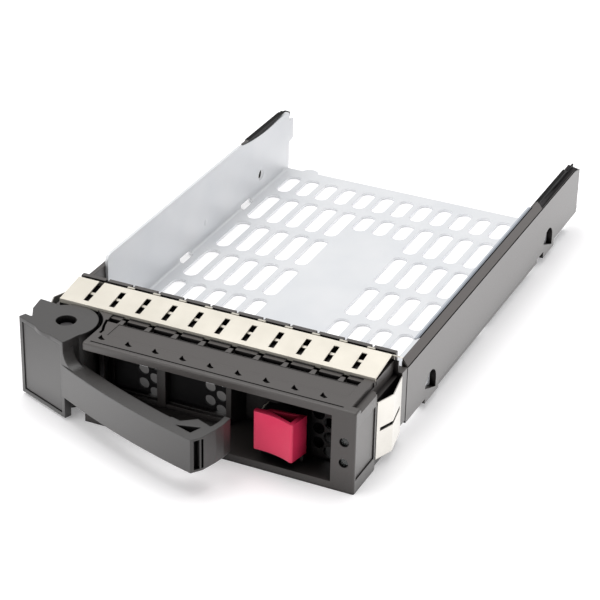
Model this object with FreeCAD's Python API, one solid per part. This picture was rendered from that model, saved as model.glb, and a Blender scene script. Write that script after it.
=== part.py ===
import FreeCAD, Part
import math
import os

from FreeCAD import Vector

# Frame: X to the right along the front, Y from the front face to the rear, Z up from the underside.
# The origin is on the bezel's front face, half way along it, at the bottom. Sizes are in millimetres.

# Drive that the bay takes
drive_width = 101.6
drive_side_play = 0.3
drive_hole_span = 101.6
drive_middle_hole_back = 41.25
drive_hole_height = 6.35

# Folded sheet tray
sheet_thickness = 0.9
bend_radius = 0.8
tray_front_y = 22.0
tray_rear_y = 177.4
wall_front_margin = 3.7
tray_wall_top_z = 24.5
wall_corner_radius = 2.0
wall_rear_y = 178.2
wall_tab_reach = 3.2
wall_tab_bottom_z = 11.2
wall_tab_top_z = 18.7
scoop_start_y = 139.6
scoop_end_y = 175.4
scoop_depth = 1.8
scoop_ramp = 12.0
rear_screw_y = 155.7
screw_hole_radius = 1.9
dimple_radius = 1.2
dimple_height = 0.25
bend_window_length = 7.1
bend_window_height = 1.3
bend_window_starts = (96.3, 140.4)
rear_tab_inset = 8.9
rear_tab_radius = 3.0

# Ventilation slots in the tray floor
slot_field_margins = 16.76
slot_field_centre_x = -2.2
slot_width = 4.9
slot_columns_each_side = 6
blank_columns_each_side = 1
slot_row_pitch = 22.97
slot_length = 19.9
rear_row_start_y = 158.9
rear_row_length = 13.2
long_row_start_y = 135.6
long_row_count = 4
short_slot_length = 12.0

# Front bezel
bezel_side_lap = 1.3
bezel_height = 25.75
bezel_depth = 31.0
bezel_skin = 2.3
bezel_floor = 2.4
wing_width = 7.1
wing_depth = 3.0
front_edge_radius = 0.6
cavity_depth_left = 14.2
cavity_depth_right = 18.8
hook_pocket_width = 15.6
hook_pocket_slope = 2.5
hook_pocket_play = 1.6
back_wall_thickness = 1.4
vent_rib_share = 0.45
vent_rib_width = 2.7
vent_rib_stand = 1.3
vent_window_margin = 1.6
vent_window_bottom_z = 4.2
vent_window_drop = 4.4
ledge_stand = 1.2
ledge_top_z = 3.8
plate_recess_depth = 0.15
plate_recess_front_y = 6.8
plate_recess_rear_y = 13.6
plate_recess_left_inset = 4.0
plate_recess_right_inset = 5.5
arc_slit_width = 0.8
side_groove_inset = 1.0
side_groove_width = 1.6
side_groove_depth = 1.4
side_groove_front_y = 3.0
side_panel_inset = 0.35
side_panel_bottom_z = 4.2
side_panel_drop = 4.9
side_panel_front_y = 0.9
side_panel_rear_y = 13.2
shoulder_setback = 0.8
shoulder_start_y = 14.0
shoulder_recess_inset = 2.2
shoulder_recess_drop = 4.4
shoulder_wall = 1.4
arm_reach = 3.1
arm_lap = 0.5
arm_bottom_z = 5.0
arm_drop = 1.4
ridge_set = 0.9
ridge_thickness = 1.5
ridge_rise = 1.6
ridge_drop = 3.2
left_ridge_inset = 3.1
left_shoulder_inset = 4.0
left_shoulder_drop = 4.3
ridge_notch_width = 0.8
ridge_notch_depth = 0.7

# Row of pockets and ribs in front of the shield strip
pocket_front_y = 13.7
pocket_rear_y = 17.8
pocket_groove_width = 2.6
pocket_groove_depth = 1.8
pocket_tile_drop = 0.35
pocket_rib_width = 1.25
pocket_rib_count = 9
pocket_first_inset = 4.15
pocket_last_inset = 10.95
key_hole_front_y = 16.1
key_hole_length = 2.6
key_hole_width = 2.0
arrow_front_y = 4.2
arrow_length = 2.1
arrow_width = 2.3
arrow_depth = 0.8
arrow_shift = 1.65
lip_groove_y = 1.5
lip_groove_width = 0.5
lip_groove_depth = 0.25

# Shield strip with its fingers
finger_count = 12
strip_left_inset = 4.8
strip_right_inset = 2.3
strip_first_slot = 7.7
strip_last_finger_width = 7.2
strip_sheet = 0.3
strip_front_y = 18.1
strip_front_rise = 0.75
strip_crest_setback = 1.7
strip_crest_rise = 2.55
strip_rear_set = 0.45
strip_rear_rise = 1.1
strip_flange = 1.3
finger_slot_width = 1.7
finger_slot_start = 1.75
finger_slot_setback = 2.2
finger_tie_y = 23.9
finger_tie_width = 1.0
finger_tie_drop = 0.7
finger_tab_width = 2.3
finger_tab_length = 0.4
finger_tab_rise = 0.6
end_tab_reach = 2.4

# Side shields
side_shield_bottom_z = 3.1
side_shield_drop = 4.35
side_shield_front_y = 14.5
side_shield_crest_set = 6.1
side_shield_rear_setback = 0.6
side_shield_bulge = 2.2
side_shield_slot_z = 11.8
side_shield_slot_width = 1.1
side_shield_foot = 1.0

# Side rails
right_rail_thickness = 1.9
left_rail_thickness = 1.5
rail_front_gap = 0.2
rail_rear_y = 183.5
rail_bottom_z = 4.8
rail_foot_z = 4.0
rail_foot_end_y = 49.0
right_rail_edge_z = 22.1
right_rail_peak_z = 23.7
left_rail_top_z = 21.2
access_arch_radius = 4.2
access_lip_drop = 2.4
rail_tab_length = 4.0
rail_tab_reach = 0.8
rail_tab_height = 1.0
rail_tab_rise = 2.2
rail_tab_play = 0.15
arch_shift = 1.3
rail_crest_start_y = 142.0
rail_crest_ramp = 4.0
rail_crest_end_y = 171.5
rail_crest_fall_y = 177.4
rail_crest_rear_y = 180.3
rail_crest_drop = 0.2
rail_crest_thickness = 0.5
rail_channel_start_y = 146.0
rail_channel_depth = 2.6
rail_channel_lip = 0.4
scoop_fill_play = 0.1
rail_rear_drop = 3.0
rail_wrap_inset = 0.4
rail_tooth = 0.6
rail_tooth_heights = (6.4, 13.3)
left_access_radius = 3.0

# Light pipes from the rear of the right rail to the two front indicators
pipe_heights = (9.3, 15.9)
pipe_rail_heights = (13.2, 17.6)
pipe_rear_heights = (6.4, 14.1)
pipe_lens_radius = 1.4
pipe_lens_inset = 3.3
lens_setback = 0.9
pipe_width = 0.9
pipe_height = 1.6
pipe_play = 0.15
pipe_bend_start_y = 8.0
pipe_bend_length = 28.0
pipe_rise_length = 12.0
pipe_fall_start_y = 162.0
pipe_fall_end_y = 178.0
pipe_nub = 0.9

# Eject lever
pivot_inset = 12.5
pivot_y = 8.8
lever_open_deg = 21.6
pivot_bore_radius = 3.0
pivot_play = 0.06
barrel_radius = 9.2
barrel_gap = 1.3
barrel_bottom_z = 3.7
lever_plate_left = -10.8
lever_plate_right = 9.2
lever_plate_face = -8.5
lever_plate_thickness = 2.2
lever_bottom_z = 0.9
lever_cap_thickness = 2.4
lever_fillet = 5.0
frame_width = 1.3
panel_recess = 0.5
panel_thickness = 0.25
panel_play = 0.15
ear_reach = 14.9
ear_height = 13.75
grip_bottom_z = 7.7
grip_drop = 7.55
grip_bow = 0.8
grip_depth = 5.0
grip_skin = 2.0
tip_setback = 1.0
tip_wall_thickness = 1.8
tip_groove_depth = 2.2
tip_groove_width = 1.7
tip_slit_width = 0.7
tip_ridge_width = 0.5
tongue_radius = 5.6
tongue_top_z = 3.3
tongue_arm_width = 11.0
pin_head_drop = 2.6
pin_crown = 0.8

# Lever spring
spring_wire = 0.5
coil_chords = 14
lever_spring_radius = 4.4
lever_spring_turns = 3
lever_spring_pitch = 0.62
spring_well_radius = 5.4
spring_well_height = 2.6
hub_radius = 3.85
washer_play = 0.05

# Release button and latch
latch_gap = 0.5
button_width = 14.1
button_left_y = -0.4
button_scoop_y = 0.0
button_nose_y = -2.7
button_nose_inset = 1.4
button_depth_y = 4.2
button_bottom_z = 6.5
button_drop = 7.25
button_hollow_depth = 4.0
button_round = 0.7
slider_front_y = 4.2
slider_rear_y = 9.2
slider_width = 7.0
slider_foot_play = 0.3
slider_drop = 9.35
catch_reach = 0.6
catch_thickness = 0.35
catch_nose_length = 2.2
catch_bottom_z = 12.2
button_gap = 1.6
pin_post_inset = 2.5
pin_post_thickness = 1.0
pin_post_front_y = 5.4
pin_post_rear_y = 8.0
pin_post_drop = 13.8
guide_pin_radius = 0.8
guide_pin_z = 9.5
guide_pin_play = 0.06
button_spring_turns = 8
button_spring_radius = 1.35
button_spring_wire = 0.4
slider_wall = 2.6

# Ventilation grilles
grille_thickness = 0.8
grille_y = 9.6
grille_field_width = 7.5
grille_behind = 2.7
grille_hole_radius = 1.75
grille_hole_pitch_z = 4.6
side_grille_pitch_x = 3.3
rear_grille_pitch_x = 3.5
rear_grille_field = 8.0
grille_margin_x = 0.45
grille_margin_z = 0.7

# Screws that hold the bezel on the tray
bezel_screw_inset = 19.3
bezel_screw_setback = 4.0
bezel_screw_radius = 1.4
bezel_screw_head_radius = 2.5
bezel_screw_head_height = 1.2
bezel_screw_length = 5.5
bezel_boss_radius = 3.2

# Derived places
bay_half = drive_width / 2 + drive_side_play
wall_outer_x = bay_half + sheet_thickness
bezel_half = wall_outer_x + bezel_side_lap
screw_z = sheet_thickness + drive_hole_height
front_screw_y = rear_screw_y - drive_hole_span
tray_wall_front_y = front_screw_y - wall_front_margin
dimple_y = rear_screw_y - drive_middle_hole_back
datum_y = rear_screw_y - drive_hole_span / 2
slot_pitch_x = (2 * bay_half - slot_field_margins) / (2 * slot_columns_each_side)
pivot_x = -(bezel_half - pivot_inset)
barrel_clear_radius = barrel_radius + barrel_gap
barrel_room_rear_y = pivot_y + barrel_clear_radius
left_shield_front_y = barrel_room_rear_y + 0.6
lip_left_x = pivot_x + barrel_clear_radius
opening_right_x = bezel_half - wing_width
grille_left_x = opening_right_x - grille_field_width
button_right_x = grille_left_x - button_gap
pin_post_x = button_right_x - pin_post_inset
button_left_x = button_right_x - button_width
slider_left_x = button_left_x + 0.4
slider_centre_y = (slider_front_y + slider_rear_y) / 2
tip_radius = button_left_x - latch_gap - pivot_x
tip_corner = tip_radius - tip_setback
cavity_deep_end_x = button_left_x + hook_pocket_play
cavity_step_start_x = cavity_deep_end_x - hook_pocket_width
cavity_step_end_x = cavity_step_start_x + hook_pocket_slope
cavity_top_z = bezel_height - bezel_skin
vent_rib_x = lip_left_x + vent_rib_share * (cavity_step_start_x - lip_left_x)
vent_left_x = lip_left_x + vent_window_margin
vent_right_x = cavity_step_start_x - vent_window_margin
vent_top_z = bezel_height - vent_window_drop
plate_recess_left_x = lip_left_x + plate_recess_left_inset
plate_recess_right_x = bezel_half - plate_recess_right_inset
pocket_pitch = (bezel_half - pocket_last_inset - lip_left_x - pocket_first_inset) / (pocket_rib_count - 1)
pocket_rib_places = [lip_left_x + pocket_first_inset + pocket_pitch * i for i in range(pocket_rib_count)]
strip_left_x = -bezel_half + strip_left_inset
strip_right_x = bezel_half - strip_right_inset
strip_span = strip_right_x - strip_left_x
finger_pitch = (strip_span - strip_first_slot - strip_last_finger_width) / (finger_count - 2)
slot_centres = [strip_left_x + strip_first_slot + finger_pitch * i for i in range(finger_count - 1)]
strip_front_top_z = bezel_height + strip_front_rise
strip_crest_z = bezel_height + strip_crest_rise
strip_rear_z = bezel_height + strip_rear_rise
arm_end_y = bezel_depth + arm_reach
rail_front_y = arm_end_y + rail_front_gap
rail_crest_height = tray_wall_top_z - rail_crest_drop - left_rail_top_z + 1.5
ridge_front_y = bezel_depth + ridge_set
ridge_rear_y = ridge_front_y + ridge_thickness
strip_crest_y = bezel_depth - strip_crest_setback
strip_rear_y = bezel_depth + strip_rear_set
side_shield_rear_y = bezel_depth - side_shield_rear_setback
pipe_bend_end_y = pipe_bend_start_y + pipe_bend_length
pipe_rise_end_y = pipe_bend_end_y + pipe_rise_length
bezel_screw_y = bezel_depth - bezel_screw_setback
ridge_top_z = bezel_height + ridge_rise
ridge_bottom_z = bezel_height - ridge_drop
side_shield_top_z = bezel_height - side_shield_drop
ear_bottom_z = bezel_height - ear_height
grip_top_z = bezel_height - grip_drop
button_top_z = bezel_height - button_drop
slider_top_z = bezel_height - slider_drop
pin_post_top_z = bezel_height - pin_post_drop
pipe_lens_x = bezel_half - pipe_lens_inset
right_rail_x = wall_outer_x + right_rail_thickness
left_rail_x = wall_outer_x + left_rail_thickness
bezel_screw_x = (-(bezel_half - bezel_screw_inset), bezel_half - bezel_screw_inset)
rear_tab_x = -(bay_half - rear_tab_inset)


def box(x0, x1, y0, y1, z0, z1):
    return Part.makeBox(x1 - x0, y1 - y0, z1 - z0, Vector(x0, y0, z0))


def post(x, y, z0, z1, radius):
    return Part.makeCylinder(radius, z1 - z0, Vector(x, y, z0), Vector(0, 0, 1))


def rod_x(x0, x1, y, z, radius):
    return Part.makeCylinder(radius, x1 - x0, Vector(x0, y, z), Vector(1, 0, 0))


def rod_y(y0, y1, x, z, radius):
    return Part.makeCylinder(radius, y1 - y0, Vector(x, y0, z), Vector(0, 1, 0))


def plan(points, z0, z1):
    wire = Part.makePolygon([Vector(x, y, z0) for x, y in points + points[:1]])
    return Part.Face(wire).extrude(Vector(0, 0, z1 - z0))


def side_profile(points, x0, x1):
    wire = Part.makePolygon([Vector(x0, y, z) for y, z in points + points[:1]])
    return Part.Face(wire).extrude(Vector(x1 - x0, 0, 0))


def front_profile(points, y0, y1):
    wire = Part.makePolygon([Vector(x, y0, z) for x, z in points + points[:1]])
    return Part.Face(wire).extrude(Vector(0, y1 - y0, 0))


def fuse_all(shapes):
    result = shapes[0]
    if len(shapes) > 1:
        result = result.fuse(shapes[1:])
    return result.removeSplitter()


def mirror_x(shape):
    return shape.mirror(Vector(0, 0, 0), Vector(1, 0, 0))


def line_meeting(a, b, c, d):
    cross = (b[0] - a[0]) * (d[1] - c[1]) - (b[1] - a[1]) * (d[0] - c[0])
    if abs(cross) < 1e-9:
        return b
    share = ((c[0] - a[0]) * (d[1] - c[1]) - (c[1] - a[1]) * (d[0] - c[0])) / cross
    return (a[0] + share * (b[0] - a[0]), a[1] + share * (b[1] - a[1]))


# Closed outline of a strip of even thickness whose left-hand side follows the given points
def ribbon(points, thickness):
    shifted = []
    for (ax, ay), (bx, by) in zip(points, points[1:]):
        length = math.hypot(bx - ax, by - ay)
        nx, ny = (by - ay) / length * thickness, -(bx - ax) / length * thickness
        shifted.append(((ax + nx, ay + ny), (bx + nx, by + ny)))
    inner = [shifted[0][0]]
    for (a, b), (c, d) in zip(shifted, shifted[1:]):
        inner.append(line_meeting(a, b, c, d))
    inner.append(shifted[-1][1])
    return list(points) + inner[::-1]


def obround_face(x, y0, y1, z, width):
    radius = width / 2
    low, high = y0 + radius, y1 - radius
    edges = [Part.LineSegment(Vector(x + radius, low, z), Vector(x + radius, high, z)).toShape(),
             Part.Arc(Vector(x + radius, high, z), Vector(x, y1, z), Vector(x - radius, high, z)).toShape(),
             Part.LineSegment(Vector(x - radius, high, z), Vector(x - radius, low, z)).toShape(),
             Part.Arc(Vector(x - radius, low, z), Vector(x, y0, z), Vector(x + radius, low, z)).toShape()]
    return Part.Face(Part.Wire(edges))


# Slots of the tray floor, row by row, with the blank field left in the middle
def floor_slots():
    columns = range(-slot_columns_each_side, slot_columns_each_side + 1)
    spans = [(c, rear_row_start_y, rear_row_start_y + rear_row_length) for c in columns]
    for row in range(long_row_count):
        start = long_row_start_y - slot_row_pitch * row
        for c in columns:
            if abs(c) > blank_columns_each_side:
                spans.append((c, start, start + slot_length))
            elif row == 0:
                spans.append((c, start + slot_length - short_slot_length, start + slot_length))
    last = long_row_start_y - slot_row_pitch * long_row_count
    spans += [(c, last + slot_length - short_slot_length, last + slot_length) for c in columns]
    shapes = []
    for column, y0, y1 in spans:
        x = slot_field_centre_x + slot_pitch_x * column
        face = obround_face(x, y0, y1, -1.0, slot_width)
        shapes.append(face.extrude(Vector(0, 0, sheet_thickness + 2)))
    return shapes


# Outline of a tray wall seen from the side, with its rounded front corner, rear scoop and rear tab
def wall_outline(x, top_z):
    r = wall_corner_radius
    front, rear = tray_wall_front_y, wall_rear_y
    low = top_z - scoop_depth
    tail = rear + wall_tab_reach

    def at(y, z):
        return Vector(x, y, z)

    def line(a, b):
        return Part.LineSegment(a, b).toShape()

    bevel = r * (1 - math.cos(math.radians(45)))
    corner = Part.Arc(at(front, top_z - r), at(front + bevel, top_z - bevel), at(front + r, top_z)).toShape()
    dip = Part.BSplineCurve()
    dip.interpolate([at(scoop_start_y, top_z), at(scoop_start_y + scoop_ramp, low),
                     at(scoop_end_y - scoop_ramp / 2, low)])
    shoulder = Part.Arc(at(scoop_end_y, low), at(rear - 0.6, low - 0.7), at(rear, low - 2.2)).toShape()
    edges = [corner, line(at(front + r, top_z), at(scoop_start_y, top_z)), dip.toShape(),
             line(at(scoop_end_y - scoop_ramp / 2, low), at(scoop_end_y, low)), shoulder,
             line(at(rear, low - 2.2), at(rear, wall_tab_top_z)),
             line(at(rear, wall_tab_top_z), at(tail, wall_tab_top_z)),
             line(at(tail, wall_tab_top_z), at(tail, wall_tab_bottom_z)),
             line(at(tail, wall_tab_bottom_z), at(rear, wall_tab_bottom_z - 0.5)),
             line(at(rear, wall_tab_bottom_z - 0.5), at(rear, bend_radius)),
             line(at(rear, bend_radius), at(front, bend_radius)),
             line(at(front, bend_radius), at(front, top_z - r))]
    return Part.Face(Part.Wire(edges))


# One folded sheet: floor, two bends and two walls
def tray_pan():
    inner_r, outer_r = bend_radius, bend_radius + sheet_thickness
    centre_z = sheet_thickness + inner_r
    floor_edge = bay_half - inner_r
    floor = box(-floor_edge, floor_edge, tray_front_y, tray_rear_y, 0, sheet_thickness)
    tab = post(rear_tab_x, tray_rear_y - 0.6, 0, sheet_thickness, rear_tab_radius)
    pieces = [floor, tab]
    for side in (-1, 1):
        wall = wall_outline(side * bay_half, tray_wall_top_z)
        wall = wall.extrude(Vector(side * sheet_thickness, 0, 0))
        wall = wall.common(box(-99, 99, 0, 999, centre_z, 99))
        bend = Part.makeCylinder(outer_r, tray_rear_y - tray_wall_front_y,
                                 Vector(side * floor_edge, tray_wall_front_y, centre_z), Vector(0, 1, 0))
        bend = bend.cut(Part.makeCylinder(inner_r, tray_rear_y, Vector(side * floor_edge, 0, centre_z),
                                          Vector(0, 1, 0)))
        x0, x1 = sorted((side * floor_edge, side * (wall_outer_x + 1)))
        bend = bend.common(box(x0, x1, 0, 999, -1, centre_z))
        pieces += [wall, bend]
    tray = fuse_all(pieces)
    holes = [rod_x(-wall_outer_x - 1, wall_outer_x + 1, y, screw_z, screw_hole_radius)
             for y in (front_screw_y, rear_screw_y)]
    for start in bend_window_starts:
        for side in (-1, 1):
            x0, x1 = sorted((side * (floor_edge - 0.4), side * (wall_outer_x + 1)))
            holes.append(box(x0, x1, start, start + bend_window_length, -1,
                             sheet_thickness + bend_window_height))
    holes += floor_slots()
    holes += [screw_cone(x) for x in bezel_screw_x]
    tray = tray.cut(holes)
    dimples = [Part.makeCone(dimple_radius, dimple_radius / 2, dimple_height,
                             Vector(side * bay_half, dimple_y, screw_z),
                             Vector(-side, 0, 0)) for side in (-1, 1)]
    tabs = rail_tabs() + [mirror_x(tab) for tab in rail_tabs()]
    return fuse_all([tray] + dimples + tabs)


# Countersunk hole or head at one of the bezel screws
def screw_cone(x, extra=0.0):
    cone = Part.makeCone(bezel_screw_head_radius - extra, bezel_screw_radius - extra,
                         bezel_screw_head_height,
                         Vector(x, bezel_screw_y, 0), Vector(0, 0, 1))
    shank = post(x, bezel_screw_y, 0, bezel_screw_length, bezel_screw_radius - extra)
    return cone.fuse(shank)


def bezel_screws():
    return Part.makeCompound([screw_cone(x).removeSplitter() for x in bezel_screw_x])


# Space that the lever's barrel and ear sweep through
def barrel_room():
    top = bezel_height + 9
    return fuse_all([post(pivot_x, pivot_y, -1, top, barrel_clear_radius),
                     box(-bezel_half - 9, pivot_x, -9, pivot_y + barrel_clear_radius, -1, top),
                     box(-bezel_half - 9, lip_left_x, -9, pivot_y, -1, top)])


# Wall behind the lever: shallow on the left, deep where the lever's hook swings in
def back_wall():
    front = cavity_depth_left
    points = [(lip_left_x, front), (cavity_step_start_x, front), (cavity_step_end_x, cavity_depth_right),
              (cavity_deep_end_x, cavity_depth_right),
              (cavity_deep_end_x, pocket_front_y - back_wall_thickness),
              (grille_left_x, pocket_front_y - back_wall_thickness)]
    outline = ribbon(points[::-1], back_wall_thickness)
    wall = plan(outline, bezel_floor, cavity_top_z)
    rib_left, rib_right = vent_rib_x - vent_rib_width / 2, vent_rib_x + vent_rib_width / 2
    windows = [box(x0, x1, front - 1, front + back_wall_thickness + 1, vent_window_bottom_z, vent_top_z)
               for x0, x1 in ((vent_left_x, rib_left), (rib_right, vent_right_x))]
    rib = box(rib_left, rib_right, front - vent_rib_stand, front + 0.2, bezel_floor, cavity_top_z)
    ledge = box(vent_left_x, cavity_step_start_x, front - ledge_stand, front + 0.2, bezel_floor, ledge_top_z)
    return [wall.cut(windows), rib, ledge]


# Half ring that shields the barrel from the inside of the bezel
def barrel_ring():
    ring = post(pivot_x, pivot_y, bezel_floor, cavity_top_z, barrel_clear_radius + back_wall_thickness)
    ring = ring.cut(post(pivot_x, pivot_y, 0, 99, barrel_clear_radius))
    return ring.common(box(pivot_x, 99, pivot_y, 99, 0, 99))


# Marks and tiled pockets in the bezel's top plate
def top_plate_cuts():
    top = bezel_height
    cuts = [box(plate_recess_left_x, plate_recess_right_x, plate_recess_front_y, plate_recess_rear_y,
                top - plate_recess_depth, top + 1)]
    for x in pocket_rib_places:
        half = key_hole_width / 2
        cuts.append(box(x - half, x + half, key_hole_front_y, key_hole_front_y + key_hole_length,
                        top - pocket_groove_depth, top + 1))
        mark, y = x - arrow_shift, arrow_front_y
        cuts.append(plan([(mark, y), (mark + 0.6 * arrow_width, y - 0.3 * arrow_length),
                          (mark + arrow_width, y),
                          (mark + 0.5 * arrow_width, y + 0.35 * arrow_length), (mark, y + arrow_length)],
                         top - arrow_depth, top + 1))
    cuts.append(box(lip_left_x + 1.5, plate_recess_right_x + 1, lip_groove_y,
                    lip_groove_y + lip_groove_width,
                    top - lip_groove_depth, top + 1))
    lefts = [pocket_rib_places[0] - pocket_pitch * 0.6] + pocket_rib_places
    half = pocket_rib_width / 2
    for left, right in zip(lefts, pocket_rib_places + [plate_recess_right_x + half]):
        x0, x1 = left + half, right - half
        groove_rear = pocket_front_y + pocket_groove_width
        cuts.append(plan([(x0 + 0.25, pocket_front_y), (x1 - 0.25, pocket_front_y), (x1, groove_rear),
                          (x0, groove_rear)], top - pocket_groove_depth, top + 1))
        cuts.append(box(x0, x1, groove_rear - 0.1, pocket_rear_y, top - pocket_tile_drop, top + 1))
    x0 = lip_left_x
    slit = [(x0, 14.6), (x0 + 0.9, 11.2), (x0 + 2.0, 8.6), (x0 + 1.9, 7.0)]
    cuts.append(plan(ribbon(slit, arc_slit_width), top - pocket_groove_depth, top + 1))
    groove_outer = bezel_half - side_groove_inset
    cuts.append(box(groove_outer - side_groove_width, bezel_half + 1, side_groove_front_y,
                    shoulder_start_y + 3,
                    top - side_groove_depth, top + 1))
    return cuts


# Notched ridge behind the shield strip
def ridge():
    bar = box(-bezel_half + left_ridge_inset, bezel_half - bezel_skin, ridge_front_y, ridge_rear_y,
              ridge_bottom_z, ridge_top_z)
    notches = [box(x - ridge_notch_width / 2, x + ridge_notch_width / 2, ridge_front_y - 1, ridge_rear_y + 1,
                   ridge_top_z - ridge_notch_depth, ridge_top_z + 1) for x in slot_centres]
    return bar.cut(notches)


# Tongue under the lever that carries the pivot pin
def pivot_tongue():
    half = tongue_arm_width / 2
    rear = pivot_y + barrel_clear_radius + 1
    disc = post(pivot_x, pivot_y, 0, tongue_top_z, tongue_radius)
    return disc.fuse(box(pivot_x - half, pivot_x + half, pivot_y, rear, 0, tongue_top_z))


# Outer block of the bezel, rounded along its front top edge and its right-hand edges
def rounded_front():
    half = bezel_half
    block = box(-half, half, 0, bezel_depth, 0, bezel_height)
    rounded = []
    for edge in block.Edges:
        x, y, z = edge.CenterOfMass
        front_top = abs(y) < 1e-6 and abs(z - bezel_height) < 1e-6
        right_side = abs(x - half) < 1e-6 and y < bezel_depth - 1e-6 and z > 1e-6
        if front_top or right_side:
            rounded.append(edge)
    return block.makeFillet(front_edge_radius, rounded)


def front_bezel():
    half, height, skin = bezel_half, bezel_height, bezel_skin
    shell = rounded_front()
    hollow = box(-half + skin, half - skin, -1, bezel_depth + 1, bezel_floor, height - skin)
    under = box(-half - 1, half + 1, tray_front_y, bezel_depth + 1, -1, sheet_thickness)
    shell = shell.cut([hollow, under, barrel_room()])
    wing = box(opening_right_x, half - front_edge_radius, 0, wing_depth, 0, height - front_edge_radius)
    inner_wall = box(opening_right_x, opening_right_x + 1.2, 0, grille_y + grille_thickness + 1,
                     bezel_floor, height - skin)
    arms = []
    for side, reach in ((1, right_rail_x), (-1, left_rail_x)):
        x0, x1 = sorted((side * (bay_half + 0.1), side * (reach - 0.1)))
        top = right_rail_peak_z - arm_drop if side > 0 else left_rail_top_z
        arms.append(box(x0, x1, bezel_depth - arm_lap, arm_end_y, arm_bottom_z, top))
    pin_post = box(pin_post_x, pin_post_x + pin_post_thickness, pin_post_front_y, pin_post_rear_y,
                   bezel_floor - 0.1, pin_post_top_z)
    ridge_web = box(-half + skin, half - skin, bezel_depth - 0.8, ridge_rear_y, ridge_bottom_z, height - 2.0)
    bosses = [post(x, bezel_screw_y, sheet_thickness, bezel_screw_length + 1.5, bezel_boss_radius)
              for x in bezel_screw_x]
    recess_x = half - shoulder_recess_inset
    liner = box(recess_x - shoulder_wall, recess_x, shoulder_start_y, bezel_depth,
                height - shoulder_recess_drop - shoulder_wall, cavity_top_z + 0.1)
    body = fuse_all([shell, wing, inner_wall, barrel_ring(), pivot_tongue(), pin_post, ridge_web,
                     ridge(), liner]
                    + back_wall() + arms + bosses)
    cuts = [box(recess_x, half + 1, shoulder_start_y + 1, bezel_depth - arm_lap,
                height - shoulder_recess_drop,
                height + 9)]
    cuts += top_plate_cuts()
    cuts += [screw_cone(x) for x in bezel_screw_x]
    cuts.append(post(pivot_x, pivot_y, -1, height, pivot_bore_radius - pivot_play))
    for z in pipe_heights:
        cuts.append(rod_y(-1, wing_depth + 1, pipe_lens_x, z, pipe_lens_radius))
    cuts += shoulder_cuts()
    cuts += strip_grooves()
    cuts.append(rod_x(pin_post_x - 1, pin_post_x + pin_post_thickness + 1, slider_centre_y, guide_pin_z,
                      guide_pin_radius))
    cuts += [pipe_bar(i, pipe_play) for i in range(len(pipe_heights))]
    return body.cut(cuts)


# Set-back sides behind the front frame, where the side shields stand off the plastic
def shoulder_cuts():
    cuts = []
    for side in (-1, 1):
        x0, x1 = sorted((side * (bezel_half - shoulder_setback), side * (bezel_half + 9)))
        cuts.append(box(x0, x1, shoulder_start_y, bezel_depth - arm_lap, -1, bezel_height + 9))
        cuts.append(box(x0, x1, bezel_depth - arm_lap - 0.1, bezel_depth + 1, -1, arm_bottom_z))
        cuts.append(box(x0, x1, bezel_depth - arm_lap - 0.1, bezel_depth + 1,
                        right_rail_peak_z - arm_drop if side > 0 else left_rail_top_z, bezel_height + 9))
    x_in = bezel_half - side_panel_inset
    cuts.append(box(x_in, bezel_half + 9, side_panel_front_y, side_panel_rear_y, side_panel_bottom_z,
                    bezel_height - side_panel_drop))
    cuts.append(box(-bezel_half - 1, -bezel_half + left_shoulder_inset, barrel_room_rear_y - 1, arm_end_y,
                    bezel_height - left_shoulder_drop, bezel_height + 9))
    return cuts


# Grooves that take the folded edges of the shields
def strip_grooves():
    play = 0.1
    front = strip_front_y
    cuts = [box(strip_left_x - play, strip_right_x + play, front - play, front + strip_sheet + play,
                strip_front_top_z - strip_flange - 1.0, bezel_height + 1)]
    for side in (-1, 1):
        foot = bezel_half - shoulder_setback - side_shield_foot - play
        x0, x1 = sorted((side * foot, side * (bezel_half + 1)))
        shield_y = side_shield_front_y if side > 0 else left_shield_front_y
        cuts.append(box(x0, x1, shield_y - play, shield_y + strip_sheet + play,
                        side_shield_bottom_z - play, side_shield_top_z + play))
    return cuts


# Springy strip: front flange, rising fingers, crest and rear flange, cut into fingers
def shield_strip():
    points = [(strip_front_y, strip_front_top_z - strip_flange), (strip_front_y, strip_front_top_z),
              (strip_crest_y, strip_crest_z), (strip_rear_y, strip_rear_z),
              (strip_rear_y, strip_rear_z - strip_flange)]
    strip = side_profile(ribbon(points, strip_sheet), strip_left_x, strip_right_x)
    half = finger_slot_width / 2
    cuts, joins = [], []
    for i, x in enumerate(slot_centres):
        end = strip_rear_y + 1 if i == 0 else strip_crest_y - finger_slot_setback
        cuts.append(box(x - half, x + half, strip_front_y + finger_slot_start, end,
                        strip_front_top_z - 2, 99))
        joins.append(strip_tie(x, half))
        if i:
            joins.append(box(x - finger_tab_width / 2, x + finger_tab_width / 2, strip_rear_y - strip_sheet,
                             strip_rear_y + finger_tab_length, strip_rear_z - strip_sheet,
                             strip_rear_z + finger_tab_rise))
    joins.append(side_profile(ribbon(points[2:4], strip_sheet), strip_right_x - 0.1,
                              strip_right_x + end_tab_reach))
    return strip.cut(cuts).fuse(joins).removeSplitter()


# Sunk strap that ties two fingers across their slot
def strip_tie(x, half):
    rise = (strip_crest_z - strip_front_top_z) / (strip_crest_y - strip_front_y)
    y0, y1 = finger_tie_y, finger_tie_y + finger_tie_width
    z0, z1 = [strip_front_top_z + rise * (y - strip_front_y) for y in (y0, y1)]
    leg, drop, sheet = 0.4, finger_tie_drop, strip_sheet
    strap = side_profile([(y0, z0 - drop - sheet), (y1, z1 - drop - sheet), (y1, z1 - sheet / 2),
                          (y0, z0 - sheet / 2)], x - half - leg, x + half + leg)
    return strap.cut([side_profile([(y0 - 1, z0 - rise - drop), (y1 + 1, z1 + rise - drop), (y1 + 1, z1 + 1),
                                    (y0 - 1, z0 + 1)], x - half, x + half)])


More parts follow.
